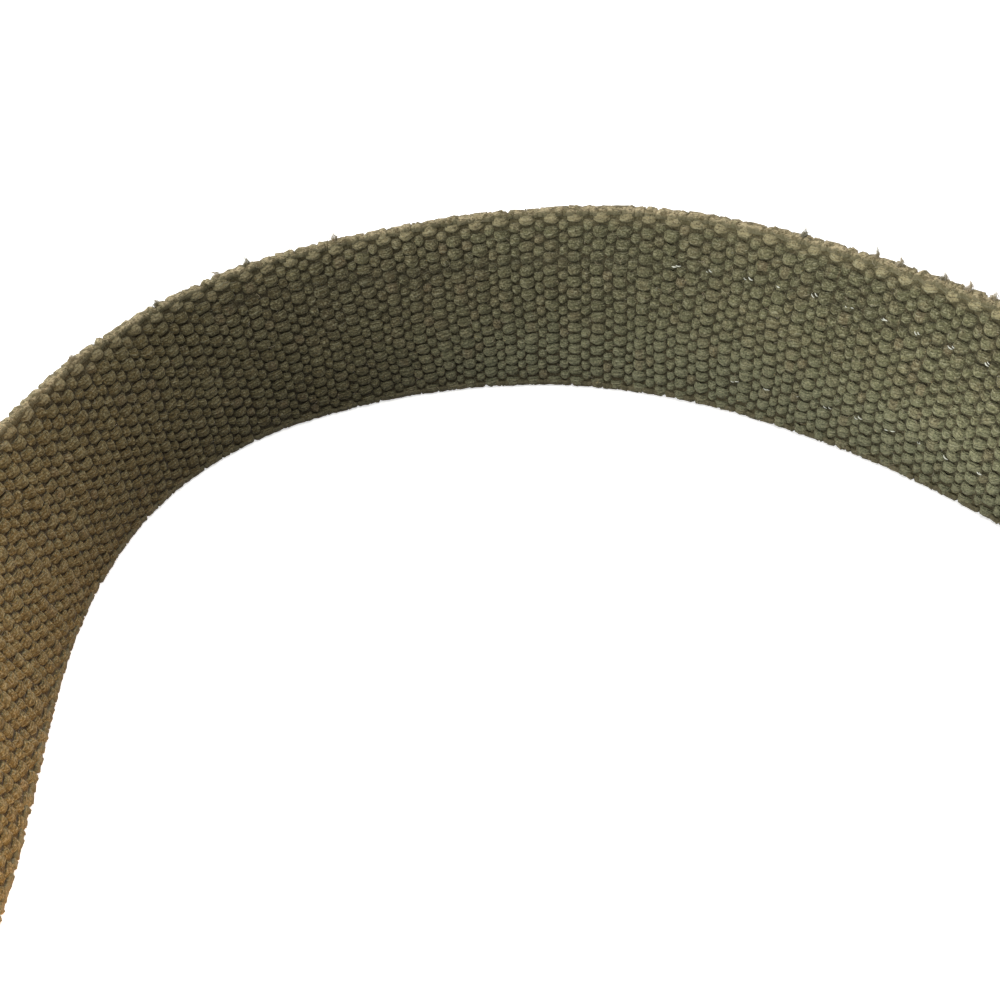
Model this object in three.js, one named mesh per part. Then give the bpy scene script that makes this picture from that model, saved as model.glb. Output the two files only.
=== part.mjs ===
import * as THREE from 'three';

// A canvas web belt of thick olive cotton webbing, fastened into its loop and standing on its lower edge.
// Millimetres, +Z up. The far end of the loop is at +Y, and the buckle is at the near end.

// Webbing
const webWidth = 38;
const webThickness = 2.6;
const selvedgeBevel = 0.5;
const webCup = 1.9; // how far the middle of the webbing bows into the loop where it cups most

// Loop
const bentLength = 1000; // webbing from one side of the buckle round the loop to the other
const tailLength = 70; // free end past the buckle
const layerGap = 0.3; // between the tail and the webbing under it
const stationStep = 8;
const stationMargin = 0.3; // of a step, the least from either end to the station next to it
const sectionRows = 6; // spans up each face of the webbing's section
const walkSteps = 2000;

// Buckle
const buckleLength = 32;
const buckleSheet = 1.5;
const buckleClearance = 0.4; // between the webbing and the buckle's inside
const buckleCorner = 2.4; // outside radius of its four long corners
const cornerSegments = 5;
const lipBevel = 0.4; // rounding of its two mouths
const lipSegments = 2;
const straightMargin = 6; // webbing stays straight this far out of each mouth
const endInset = 4; // the fixed end stops this far inside the buckle

// Where the webbing nears the buckle
const layerRun = 60; // length in which the tail's side moves out by one layer
const liftRun = 70; // length in which the lower edge rises to clear the buckle's lower wall

// The loop's plan and stance, a row for each bend along the bent length. along is a share of bentLength,
// heading the way the webbing runs in plan in degrees, lean how far its top leans out for each mm of
// height, and cup a share of webCup.
const bends = [
  { along: 0.0, heading: 180, lean: 0.0, cup: 0.0 },
  { along: 0.045, heading: 158, lean: 0.0, cup: 0.0 },
  { along: 0.09, heading: 130, lean: 0.01, cup: 0.1 },
  { along: 0.13, heading: 107, lean: 0.04, cup: 0.3 },
  { along: 0.175, heading: 93, lean: 0.08, cup: 0.4 },
  { along: 0.22, heading: 89, lean: 0.15, cup: 0.6 },
  { along: 0.265, heading: 91, lean: 0.26, cup: 0.8 },
  { along: 0.31, heading: 87, lean: 0.4, cup: 1.0 },
  { along: 0.357, heading: 91, lean: 0.46, cup: 1.0 },
  { along: 0.383, heading: 84, lean: 0.33, cup: 1.0 },
  { along: 0.409, heading: 70, lean: 0.2, cup: 1.0 },
  { along: 0.435, heading: 46, lean: 0.16, cup: 1.0 },
  { along: 0.461, heading: 21, lean: 0.19, cup: 1.0 },
  { along: 0.487, heading: 5, lean: 0.22, cup: 1.0 },
  { along: 0.513, heading: -9, lean: 0.29, cup: 1.0 },
  { along: 0.539, heading: -25, lean: 0.36, cup: 1.0 },
  { along: 0.565, heading: -37, lean: 0.36, cup: 1.0 },
  { along: 0.591, heading: -45, lean: 0.33, cup: 1.0 },
  { along: 0.617, heading: -54, lean: 0.31, cup: 1.0 },
  { along: 0.66, heading: -68, lean: 0.25, cup: 0.8 },
  { along: 0.71, heading: -79, lean: 0.18, cup: 0.6 },
  { along: 0.76, heading: -82, lean: 0.12, cup: 0.5 },
  { along: 0.81, heading: -83, lean: 0.07, cup: 0.4 },
  { along: 0.86, heading: -90, lean: 0.03, cup: 0.3 },
  { along: 0.91, heading: -113, lean: 0.0, cup: 0.1 },
  { along: 0.955, heading: -147, lean: 0.0, cup: 0.0 },
  { along: 1.0, heading: -180, lean: 0.0, cup: 0.0 },
];

// Sizes that follow from those above
const straightHalf = buckleLength / 2 + straightMargin;
const loopLength = bentLength + 2 * straightHalf;
const layerStep = webThickness + layerGap;
const cavityDepth = webThickness + layerStep + 2 * buckleClearance;
const cavityHeight = webWidth + 2 * buckleClearance;
const edgeLift = buckleSheet + buckleClearance;

const smooth = (x) => THREE.MathUtils.smoothstep(x, 0, 1);

// The slope at a row is that of the parabola through it and its two neighbours.
function slopeAt(column, i) {
  const before = bends[Math.max(i - 1, 0)];
  const here = bends[i];
  const after = bends[Math.min(i + 1, bends.length - 1)];
  const left = here.along - before.along;
  const right = after.along - here.along;
  if (left === 0) return (after[column] - here[column]) / right;
  if (right === 0) return (here[column] - before[column]) / left;
  const leftSlope = (here[column] - before[column]) / left;
  const rightSlope = (after[column] - here[column]) / right;
  return (leftSlope * right + rightSlope * left) / (left + right);
}

// A smooth curve through one column of the bends.
function bendAt(column, along) {
  let i = 0;
  while (i < bends.length - 2 && along > bends[i + 1].along) i += 1;
  const span = bends[i + 1].along - bends[i].along;
  const t = (along - bends[i].along) / span;
  const start = (1 + 2 * t) * (1 - t) ** 2 * bends[i][column];
  const startTurn = t * (1 - t) ** 2 * span * slopeAt(column, i);
  const end = t * t * (3 - 2 * t) * bends[i + 1][column];
  const endTurn = t * t * (t - 1) * span * slopeAt(column, i + 1);
  return start + startTurn + end + endTurn;
}

// Plan points of the bent length, walked heading by heading. What the walk misses the buckle by is shared
// out along it.
function walkBends(steps) {
  const points = [new THREE.Vector2(-straightHalf, 0)];
  for (let i = 0; i < steps; i += 1) {
    const heading = THREE.MathUtils.degToRad(bendAt('heading', (i + 0.5) / steps));
    const move = new THREE.Vector2(Math.cos(heading), Math.sin(heading));
    points.push(points[i].clone().addScaledVector(move, bentLength / steps));
  }
  const miss = new THREE.Vector2(straightHalf, 0).sub(points[steps]);
  return points.map((point, i) => point.addScaledVector(miss, i / steps));
}

const walk = walkBends(walkSteps);

// Where the webbing is at a distance from the buckle's middle, measured along its inner lower edge.
function placeAt(distance) {
  const round = THREE.MathUtils.euclideanModulo(distance, loopLength);
  const fromBuckle = Math.min(round, loopLength - round);
  const lift = edgeLift * (1 - smooth((fromBuckle - straightHalf) / liftRun));
  if (fromBuckle <= straightHalf) {
    const x = round === fromBuckle ? -round : loopLength - round;
    return { point: new THREE.Vector2(x, 0), out: new THREE.Vector2(0, -1), lean: 0, cup: 0, lift };
  }
  const along = (round - straightHalf) / bentLength;
  const heading = THREE.MathUtils.degToRad(bendAt('heading', along));
  const i = Math.min(Math.floor(along * walkSteps), walkSteps - 1);
  return {
    point: walk[i].clone().lerp(walk[i + 1], along * walkSteps - i),
    out: new THREE.Vector2(-Math.sin(heading), Math.cos(heading)),
    lean: bendAt('lean', along),
    cup: bendAt('cup', along),
    lift,
  };
}

// The webbing's section, from its inner face out and from its lower edge up, with bevelled selvedges.
function webSection(rows) {
  const low = selvedgeBevel;
  const high = webWidth - selvedgeBevel;
  const heights = Array.from({ length: rows + 1 }, (_, i) => THREE.MathUtils.lerp(low, high, i / rows));
  return [
    { out: selvedgeBevel, up: 0 },
    { out: webThickness - selvedgeBevel, up: 0 },
    ...heights.map((up) => ({ out: webThickness, up })),
    { out: webThickness - selvedgeBevel, up: webWidth },
    { out: selvedgeBevel, up: webWidth },
    ...heights.reverse().map((up) => ({ out: 0, up })),
  ];
}

// One ring of the section at its place along the belt, in the layer that it has there.
function webRing(distance, section) {
  const place = placeAt(distance);
  const tailSide = smooth((distance - (loopLength - straightHalf - layerRun)) / layerRun);
  return section.map(({ out, up }) => {
    const fromMiddle = (2 * up) / webWidth - 1;
    const bow = webCup * place.cup * (1 - fromMiddle ** 2);
    const offset = layerStep * tailSide + place.lean * up - bow + out;
    const plan = place.point.clone().addScaledVector(place.out, offset);
    return [plan.x, plan.y, up + place.lift];
  });
}

// A closed skin over rings that each run round the same way, with flat ends.
function skinRings(rings) {
  const count = rings[0].length;
  const faces = [];
  for (let i = 0; i + 1 < rings.length; i += 1) {
    for (let j = 0; j < count; j += 1) {
      const here = i * count + j;
      const next = i * count + ((j + 1) % count);
      faces.push(here, next, next + count, here, next + count, here + count);
    }
  }
  const last = (rings.length - 1) * count;
  for (let j = 1; j + 1 < count; j += 1) {
    faces.push(0, j + 1, j, last, last + j, last + j + 1);
  }
  const geometry = new THREE.BufferGeometry();
  geometry.setAttribute('position', new THREE.Float32BufferAttribute(rings.flat(2), 3));
  geometry.setIndex(faces);
  geometry.computeVertexNormals();
  return geometry;
}

// Webbing: from its fixed end inside the buckle, once round the loop, back through the buckle on the
// outside of that end, and on as the free tail. Both layers have their stations at the same places.
function makeWebbing() {
  const start = endInset - buckleLength / 2;
  const end = loopLength + buckleLength / 2 + tailLength;
  const count = Math.round(loopLength / stationStep);
  const step = loopLength / count;
  const stations = [start];
  for (let i = Math.ceil(start / step + stationMargin); i < end / step - stationMargin; i += 1) {
    stations.push(i * step);
  }
  stations.push(end);
  const section = webSection(sectionRows);
  const material = new THREE.MeshStandardMaterial({ color: 0x5c5a44, roughness: 0.95, metalness: 0 });
  const webbing = new THREE.Mesh(skinRings(stations.map((at) => webRing(at, section))), material);
  webbing.name = 'webbing_strap';
  return webbing;
}

function roundedRectangle(width, height, radius, path) {
  const x = width / 2;
  const y = height / 2;
  path.moveTo(-x + radius, -y);
  path.lineTo(x - radius, -y);
  path.absarc(x - radius, -y + radius, radius, -Math.PI / 2, 0, false);
  path.lineTo(x, y - radius);
  path.absarc(x - radius, y - radius, radius, 0, Math.PI / 2, false);
  path.lineTo(-x + radius, y);
  path.absarc(-x + radius, y - radius, radius, Math.PI / 2, Math.PI, false);
  path.lineTo(-x, -y + radius);
  path.absarc(-x + radius, -y + radius, radius, Math.PI, 1.5 * Math.PI, false);
  return path;
}

// Buckle: a plain sleeve of bent sheet metal round both layers of the webbing, open at its two mouths.
function makeBuckle() {
  const outline = roundedRectangle(
    cavityDepth + 2 * buckleSheet,
    cavityHeight + 2 * buckleSheet,
    buckleCorner,
    new THREE.Shape(),
  );
  const insideCorner = buckleCorner - buckleSheet;
  outline.holes.push(roundedRectangle(cavityDepth, cavityHeight, insideCorner, new THREE.Path()));
  const geometry = new THREE.ExtrudeGeometry(outline, {
    depth: buckleLength - 2 * lipBevel,
    bevelEnabled: true,
    bevelThickness: lipBevel,
    bevelSize: lipBevel,
    bevelOffset: -lipBevel,
    bevelSegments: lipSegments,
    curveSegments: cornerSegments,
  });
  geometry.translate(0, 0, lipBevel - buckleLength / 2);
  const material = new THREE.MeshStandardMaterial({ color: 0x4a4843, roughness: 0.45, metalness: 1 });
  const buckle = new THREE.Mesh(geometry, material);
  buckle.name = 'buckle';
  const depthWay = new THREE.Vector3(0, 1, 0);
  const heightWay = new THREE.Vector3(0, 0, 1);
  const lengthWay = new THREE.Vector3(1, 0, 0);
  buckle.quaternion.setFromRotationMatrix(new THREE.Matrix4().makeBasis(depthWay, heightWay, lengthWay));
  buckle.position.set(0, buckleClearance - cavityDepth / 2, edgeLift + webWidth / 2);
  return buckle;
}

const belt = new THREE.Group();
belt.add(makeWebbing(), makeBuckle());

// The origin is under the middle of the whole belt, on the surface that it stands on.
belt.updateMatrixWorld(true);
const extent = new THREE.Box3().setFromObject(belt, true);
const middle = extent.getCenter(new THREE.Vector3());
belt.position.set(-middle.x, -middle.y, -extent.min.z);

export default belt;
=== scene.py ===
import math
import bpy
import numpy as np
from mathutils import Matrix, Vector


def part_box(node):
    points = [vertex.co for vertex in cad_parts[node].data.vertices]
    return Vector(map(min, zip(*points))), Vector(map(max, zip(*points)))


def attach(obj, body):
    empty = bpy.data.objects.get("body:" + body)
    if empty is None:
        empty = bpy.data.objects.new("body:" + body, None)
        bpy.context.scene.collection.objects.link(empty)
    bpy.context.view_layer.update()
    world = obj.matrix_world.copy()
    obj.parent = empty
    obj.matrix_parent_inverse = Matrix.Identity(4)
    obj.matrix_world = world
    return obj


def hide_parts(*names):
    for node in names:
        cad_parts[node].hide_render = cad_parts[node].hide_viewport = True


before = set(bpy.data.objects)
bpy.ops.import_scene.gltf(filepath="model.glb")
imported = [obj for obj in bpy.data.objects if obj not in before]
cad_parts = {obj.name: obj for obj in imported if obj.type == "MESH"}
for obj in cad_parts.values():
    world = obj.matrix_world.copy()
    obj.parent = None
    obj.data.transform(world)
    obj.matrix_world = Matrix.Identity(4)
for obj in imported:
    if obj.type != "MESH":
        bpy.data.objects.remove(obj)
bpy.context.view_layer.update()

# The view.
# The camera hangs inside the belt's loop, a hand above the near side, and looks down at the far side.
# It is turned 2 degrees to the left and rolled clockwise, as the photograph was taken.
lens_mm = 50.5
camera_place = Vector((-0.0133, -0.0720, 0.1878))
looking_down = math.radians(40.0)
turned_left = math.radians(2.03)
rolled = math.radians(-7.76)


def deselect():
    """Leaves nothing selected, because an operator acts on all that is."""
    bpy.ops.object.select_all(action="DESELECT")


deselect()
bpy.ops.object.camera_add(location=camera_place)
camera = bpy.context.object
camera.name = "camera"
camera.data.lens = lens_mm
camera.data.clip_start = 0.01
facing = (
    Matrix.Rotation(turned_left, 3, "Z")
    @ Matrix.Rotation(math.radians(90) - looking_down, 3, "X")
    @ Matrix.Rotation(rolled, 3, "Z")
)
camera.rotation_euler = facing.to_euler()
bpy.context.scene.camera = camera
bpy.context.scene.view_settings.view_transform = "Standard"

# The table and the light.
# A plain white table that glows a little, like paper over a lamp, and gives none of its glow back to the
# belt. A large panel hangs overhead, one stands low on the left, and a small warm one lights the near left.
# One behind lights the outer face and the rim, and a weak one in the loop stands for the table's bounce.
table_size = 8.0
table_gap = 0.0002
table_white = 0.86
table_glow = 0.62
walls_glow = 0.13


def srgb(red, green, blue):
    """A colour given as screen values from 0 to 255, in the linear values that a shader takes."""
    values = [channel / 255 for channel in (red, green, blue)]
    return [v / 12.92 if v <= 0.04045 else ((v + 0.055) / 1.055) ** 2.4 for v in values] + [1.0]


class Signal:
    """A number, colour or vector on its way through a finish, so that shader maths reads as plain sums."""

    def __init__(self, finish, socket):
        self.finish = finish
        self.socket = socket

    def __add__(self, other):
        return self.finish.number("ADD", self, other)

    def __radd__(self, other):
        return self.finish.number("ADD", other, self)

    def __sub__(self, other):
        return self.finish.number("SUBTRACT", self, other)

    def __rsub__(self, other):
        return self.finish.number("SUBTRACT", other, self)

    def __mul__(self, other):
        return self.finish.number("MULTIPLY", self, other)

    def __rmul__(self, other):
        return self.finish.number("MULTIPLY", other, self)

    def outlet(self, name):
        """Another output of the same node."""
        return Signal(self.finish, self.socket.node.outputs[name])


class Finish:
    """One material being made up. The method node adds any node: its settings first, then its sockets."""

    def __init__(self, name):
        self.material = bpy.data.materials.new(name)
        self.material.use_nodes = True
        self.tree = self.material.node_tree
        self.tree.nodes.clear()

    def node(self, kind, settings=None, sockets=None, output=0):
        made = self.tree.nodes.new(kind)
        for name, value in (settings or {}).items():
            setattr(made, name, value)
        for name, value in (sockets or {}).items():
            if isinstance(value, Signal):
                self.tree.links.new(value.socket, made.inputs[name])
            else:
                made.inputs[name].default_value = value
        return Signal(self, made.outputs[output]) if made.outputs else made

    def number(self, operation, first, second=0.0):
        return self.node("ShaderNodeMath", {"operation": operation}, {0: first, 1: second})

    def blended(self, share, first, second):
        """The first colour turning to the second as the share goes from 0 to 1."""
        return self.node("ShaderNodeMix", {"data_type": "RGBA"}, {0: share, 6: first, 7: second}, output=2)

    def ramped(self, value, low, high):
        """0 below the low value and 1 above the high one, with a soft rise between them."""
        settings = {"interpolation_type": "SMOOTHSTEP"}
        return self.node("ShaderNodeMapRange", settings, {"Value": value, "From Min": low, "From Max": high})

    def done(self, surface):
        """Ends the material in a surface and gives it back."""
        self.node("ShaderNodeOutputMaterial", {}, {"Surface": surface})
        return self.material


paper = Finish("pale_table")
table_material = paper.done(paper.node("ShaderNodeBsdfPrincipled", {}, {
    "Base Color": (table_white, table_white, table_white, 1),
    "Roughness": 0.7,
    "Specular IOR Level": 0.2,
    "Emission Color": (1, 1, 1, 1),
    "Emission Strength": table_glow,
}))
deselect()
bpy.ops.mesh.primitive_plane_add(size=table_size, location=(0, 0, -table_gap))
table = bpy.context.object
table.name = "table_top"
table.data.materials.append(table_material)
table.visible_diffuse = False


def panel_light(name, place, target, size, power, colour, spread=180):
    """A soft panel, so wide and high, that faces the target. A grid holds its light to the spread."""
    deselect()
    bpy.ops.object.light_add(type="AREA", location=place)
    panel = bpy.context.object
    panel.name = name
    panel.data.shape = "RECTANGLE"
    panel.data.size, panel.data.size_y = size
    panel.data.energy = power
    panel.data.color = colour
    panel.data.spread = math.radians(spread)
    panel.visible_camera = False
    aim = Vector(target) - Vector(place)
    panel.rotation_euler = aim.to_track_quat("-Z", "Y").to_euler()


panel_light("top_panel", (0.35, -0.05, 1.3), (0.0, 0.1, 0.0), (1.4, 1.4), 13.0, (1.0, 1.0, 0.97))
panel_light("left_panel", (-1.1, -0.30, 0.36), (0.08, 0.15, 0.02), (1.0, 0.5), 14.6, (0.98, 1.0, 0.95))
panel_light("warm_panel", (0.13, -0.10, 0.11), (-0.125, -0.05, 0.02), (0.1, 0.1), 0.42, (1.0, 0.58, 0.25), 72)
panel_light("back_panel", (0.1, 1.3, 0.8), (0.0, 0.1, 0.02), (1.0, 0.6), 12.0, (1.0, 0.97, 0.92))
panel_light("bounce", (0.01, 0.10, 0.002), (0.01, 0.10, 1.0), (0.10, 0.06), 0.075, (0.95, 1.0, 0.92))
world = bpy.data.worlds.new("pale_walls")
world.use_nodes = True
world.node_tree.nodes["Background"].inputs["Color"].default_value = (1, 1, 1, 1)
world.node_tree.nodes["Background"].inputs["Strength"].default_value = walls_glow
bpy.context.scene.world = world

# The webbing's matted middle.
# Heavy cotton belt webbing is woven flat, and takes its bends when it is worn and put down on its edge.
# Matted fibres fill it between the nubs: a closed band, shaped on the flat loom, then wrapped to its bends.
web_width = 38.0
web_thickness = 2.6
web_start = -12.0
web_end = 1130.0
web_cup = 1.9
bent_length = 1000.0
straight_half = 22.0
loop_length = bent_length + 2 * straight_half
layer_gap = 0.3
layer_step = web_thickness + layer_gap
layer_run = 60.0
edge_lift = 1.9
lift_run = 70.0
buckle_sheet = 1.5
buckle_clearance = 0.4
walk_steps = 2000
metres = 0.001
repeats = 238
repeat_length = (web_end - web_start) / repeats
band_width = 37.2
band_thickness = 0.9
band_cuts = 9
felt_rim_reach = 4.5
felt_olive = srgb(58, 54, 37)
felt_brown = srgb(46, 38, 23)
felt_edge = srgb(124, 115, 86)
felt_tan = srgb(88, 79, 58)
# The next two colours are a painted highlight on the felt's raised fibres and a painted shade in its sunken
# ones.
felt_painted_highlight = srgb(128, 122, 96)
felt_shadow = srgb(46, 42, 28)
# Each row holds a share of the bent length, the heading there in degrees, how far the section leans out
# for each millimetre of height, and how much of the full cup its bow has.
bends = np.array([
    (0.000, 180, 0.00, 0.0), (0.045, 158, 0.00, 0.0), (0.090, 130, 0.01, 0.1), (0.130, 107, 0.04, 0.3),
    (0.175, 93, 0.08, 0.4), (0.220, 89, 0.15, 0.6), (0.265, 91, 0.26, 0.8), (0.310, 87, 0.40, 1.0),
    (0.357, 91, 0.46, 1.0), (0.383, 84, 0.33, 1.0), (0.409, 70, 0.20, 1.0), (0.435, 46, 0.16, 1.0),
    (0.461, 21, 0.19, 1.0), (0.487, 5, 0.22, 1.0), (0.513, -9, 0.29, 1.0), (0.539, -25, 0.36, 1.0),
    (0.565, -37, 0.36, 1.0), (0.591, -45, 0.33, 1.0), (0.617, -54, 0.31, 1.0), (0.660, -68, 0.25, 0.8),
    (0.710, -79, 0.18, 0.6), (0.760, -82, 0.12, 0.5), (0.810, -83, 0.07, 0.4), (0.860, -90, 0.03, 0.3),
    (0.910, -113, 0.00, 0.1), (0.955, -147, 0.00, 0.0), (1.000, -180, 0.00, 0.0),
])
heading_column = 1
lean_column = 2
cup_column = 3
buckle_low, buckle_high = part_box("buckle")
plan_shift = (
    (buckle_low[0] + buckle_high[0]) / 2 / metres,
    buckle_low[1] / metres + layer_step + web_thickness + buckle_clearance + buckle_sheet,
)


def eased(share):
    """0 to 1 with a soft start and end."""
    share = np.clip(share, 0, 1)
    return share * share * (3 - 2 * share)


def bend_at(column, share):
    """A column of the bends between its rows, on a smooth cubic through them."""
    shares = bends[:, 0]
    values = bends[:, column]
    slopes = np.gradient(values, shares)
    row = np.clip(np.searchsorted(shares, share, side="right") - 1, 0, len(shares) - 2)
    span = shares[row + 1] - shares[row]
    part = (share - shares[row]) / span
    rest = 1 - part
    ends = (1 + 2 * part) * rest**2 * values[row] + part**2 * (3 - 2 * part) * values[row + 1]
    turns = part * rest**2 * slopes[row] - part**2 * rest * slopes[row + 1]
    return ends + turns * span


walk_headings = np.radians(bend_at(heading_column, (np.arange(walk_steps) + 0.5) / walk_steps))
walk = np.zeros((walk_steps + 1, 2))
walk[1:, 0] = np.cumsum(np.cos(walk_headings))
walk[1:, 1] = np.cumsum(np.sin(walk_headings))
walk *= bent_length / walk_steps
walk[:, 0] -= straight_half
walk_shares = np.arange(walk_steps + 1) / walk_steps
walk += walk_shares[:, None] * (np.array([straight_half, 0]) - walk[-1])


def wrapped(points):
    """Takes points of the flat loom (along, up, rise to the wearer's face), in mm, to the bent belt, in m."""
    along, up, rise = points.T
    out = web_thickness / 2 - rise
    lap = np.mod(along, loop_length)
    from_buckle = np.minimum(lap, loop_length - lap)
    share = np.clip((lap - straight_half) / bent_length, 0, 1)
    straight = from_buckle < straight_half
    plan_x = np.where(straight, np.where(lap < loop_length / 2, -lap, loop_length - lap),
                      np.interp(share, walk_shares, walk[:, 0]))
    plan_y = np.where(straight, 0, np.interp(share, walk_shares, walk[:, 1]))
    heading = np.radians(bend_at(heading_column, share))
    tail_side = eased((along - (loop_length - straight_half - layer_run)) / layer_run)
    bow = web_cup * bend_at(cup_column, share) * (1 - (2 * up / web_width - 1) ** 2)
    offset = layer_step * tail_side + bend_at(lean_column, share) * up - bow + out
    lift = edge_lift * (1 - eased((from_buckle - straight_half) / lift_run))
    bent = np.stack([
        plan_x - np.sin(heading) * offset + plan_shift[0],
        plan_y + np.cos(heading) * offset + plan_shift[1],
        up + lift,
    ], axis=1)
    return bent * metres


def points_of(piece):
    """The piece's vertices as rows of x, y and z."""
    flat = np.empty(3 * len(piece.data.vertices))
    piece.data.vertices.foreach_get("co", flat)
    return flat.reshape(-1, 3)


def move_points(piece, points):
    """Puts the piece's vertices at these rows of x, y and z."""
    piece.data.vertices.foreach_set("co", points.astype(np.float32).ravel())
    piece.data.update()


def repeat_along(piece, count, step):
    """Repeats one length of weave down the loom, with the meeting rings merged."""
    array = piece.modifiers.new("repeats", "ARRAY")
    array.use_relative_offset = False
    array.use_constant_offset = True
    array.constant_offset_displace = (step, 0, 0)
    array.count = count
    array.use_merge_vertices = True
    array.merge_threshold = 0.01
    array.offset_u = 1
    bpy.context.view_layer.objects.active = piece
    bpy.ops.object.modifier_apply(modifier=array.name)


def paint(piece, name, values):
    """Gives each point of the piece a named number, which the finish reads."""
    layer = piece.data.attributes.new(name, "FLOAT", "POINT")
    layer.data.foreach_set("value", np.asarray(values, np.float32))


def painted(finish, name):
    """A number that the piece's points carry."""
    return finish.node("ShaderNodeAttribute", {"attribute_name": name}, output="Fac")


def turn_faces_out(piece):
    bpy.context.view_layer.objects.active = piece
    bpy.ops.object.mode_set(mode="EDIT")
    bpy.ops.mesh.select_all(action="SELECT")
    bpy.ops.mesh.normals_make_consistent(inside=False)
    bpy.ops.object.mode_set(mode="OBJECT")


def close_ends(piece):
    """Fills the open ends of a tube and turns its faces out."""
    bpy.context.view_layer.objects.active = piece
    bpy.ops.object.mode_set(mode="EDIT")
    bpy.ops.mesh.select_all(action="SELECT")
    bpy.ops.mesh.fill_holes(sides=0)
    bpy.ops.object.mode_set(mode="OBJECT")
    turn_faces_out(piece)


def clear_marks(piece):
    """Leaves nothing of the mesh selected."""
    for group in (piece.data.vertices, piece.data.edges, piece.data.polygons):
        group.foreach_set("select", np.zeros(len(group), bool))


def edit_ends(piece):
    """Opens the piece for editing with the faces that look along X selected."""
    clear_marks(piece)
    for face in piece.data.polygons:
        face.select = abs(face.normal.x) > 0.5
    bpy.context.tool_settings.mesh_select_mode = (False, False, True)
    bpy.ops.object.mode_set(mode="EDIT")


def edit_long_edges(piece, axis, length):
    """Opens the piece for editing with the edges that run further than the length along an axis selected."""
    clear_marks(piece)
    for edge in piece.data.edges:
        first, last = (piece.data.vertices[number].co for number in edge.vertices)
        edge.select = abs(first[axis] - last[axis]) > length
    bpy.context.tool_settings.mesh_select_mode = (False, True, False)
    bpy.ops.object.mode_set(mode="EDIT")


deselect()
bpy.ops.mesh.primitive_cube_add(size=1, location=(web_start + repeat_length / 2, web_width / 2, 0),
                                scale=(repeat_length, band_width, band_thickness))
band = bpy.context.object
band.name = "webbing_middle"
bpy.ops.object.transform_apply(location=True, scale=True)
edit_ends(band)
bpy.ops.mesh.delete(type="ONLY_FACE")
bpy.ops.object.mode_set(mode="OBJECT")
edit_long_edges(band, 1, web_width / 2)
bpy.ops.mesh.subdivide(number_cuts=band_cuts)
bpy.ops.object.mode_set(mode="OBJECT")
repeat_along(band, repeats, repeat_length)
close_ends(band)
points = points_of(band)
paint(band, "along", points[:, 0] / loop_length)
paint(band, "rim", 1 - eased(np.minimum(points[:, 1], web_width - points[:, 1]) / felt_rim_reach))
move_points(band, wrapped(points))
for face in band.data.polygons:
    face.use_smooth = False
matting = Finish("matted_fibres")
felt_place = matting.node("ShaderNodeTexCoord", output="Object")
felt = matting.node("ShaderNodeTexNoise", {}, {"Vector": felt_place, "Scale": 2400.0, "Detail": 3.0})
felt_patch = matting.node("ShaderNodeTexNoise", {}, {"Vector": felt_place, "Scale": 500.0, "Detail": 2.0})
near_side = matting.ramped(painted(matting, "along"), 0.52, 0.42)
felt_base = matting.blended(near_side, felt_olive, felt_brown)
felt_rim = matting.blended(painted(matting, "rim") * 0.6, felt_base, felt_edge)
felt_worn = matting.blended(matting.ramped(felt_patch, 0.45, 0.65) * 0.4, felt_rim, felt_tan)
# Painted highlight where the felt's bump stands high, painted shade where it sinks.
felt_highlit = matting.blended(matting.ramped(felt, 0.54, 0.66) * 0.5, felt_worn, felt_painted_highlight)
felt_dark = matting.blended(matting.ramped(felt, 0.46, 0.36) * 0.6, felt_highlit, felt_shadow)
band.data.materials.append(matting.done(matting.node("ShaderNodeBsdfPrincipled", {}, {
    "Base Color": felt_dark,
    "Roughness": 0.95,
    "Specular IOR Level": 0.1,
    "Sheen Weight": 0.3,
    "Normal": matting.node("ShaderNodeBump", {}, {"Strength": 1.0, "Distance": 0.00025, "Height": felt}),
})))
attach(band, "root")
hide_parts("webbing_strap")

# The warp cords.
# Twenty-nine plied cotton cords run the whole length. Each goes over every thick pick on one face and over
# every thin pick on the other, in turns with its neighbours, which makes columns of large and small nubs.
cord_count = 29
cord_sides = 6
side_margin = 0.90
cord_pitch = (web_width - 2 * side_margin) / cord_count
cords_in_piece = 8
outer_squeeze = 0.90
outer_inset = -0.24
flat_side = math.cos(math.radians(30))
# Half a repeat, from the middle of a large nub to the middle of a small one on the other face: the share
# of the half repeat, the cord's height over the middle of the cloth, its width and its thickness, in mm.
nub_profile = [
    (0.00, 0.88, 2.42, 0.94),
    (0.33, 0.78, 2.18, 0.98),
    (0.55, 0.24, 1.90, 1.12),
    (0.73, -0.42, 1.96, 1.08),
    (1.00, -0.78, 2.26, 0.92),
]
squared = 1.22
# A nub's usual faults: how much too tall or too wide it is and how much all are pressed flat, as shares, then
# how far it comes late, how far its cord sways and how rough its surface is, in mm.
nub_taller = 0.07
nub_wider = 0.09
nub_late = 0.13
nub_pressed = 0.04
cord_sway = 0.09
surface_rough = 0.035
crest_foot = 0.35
crest_climb = 0.95
rim_reach = 3.6
lower_rim_wear = 0.4
spot_place = (503, 26)
spot_reach = (38, 9)
wander_count = 9
wander_stray = 0.085
wander_swell = 0.016
weave_random = np.random.default_rng(4)


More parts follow.
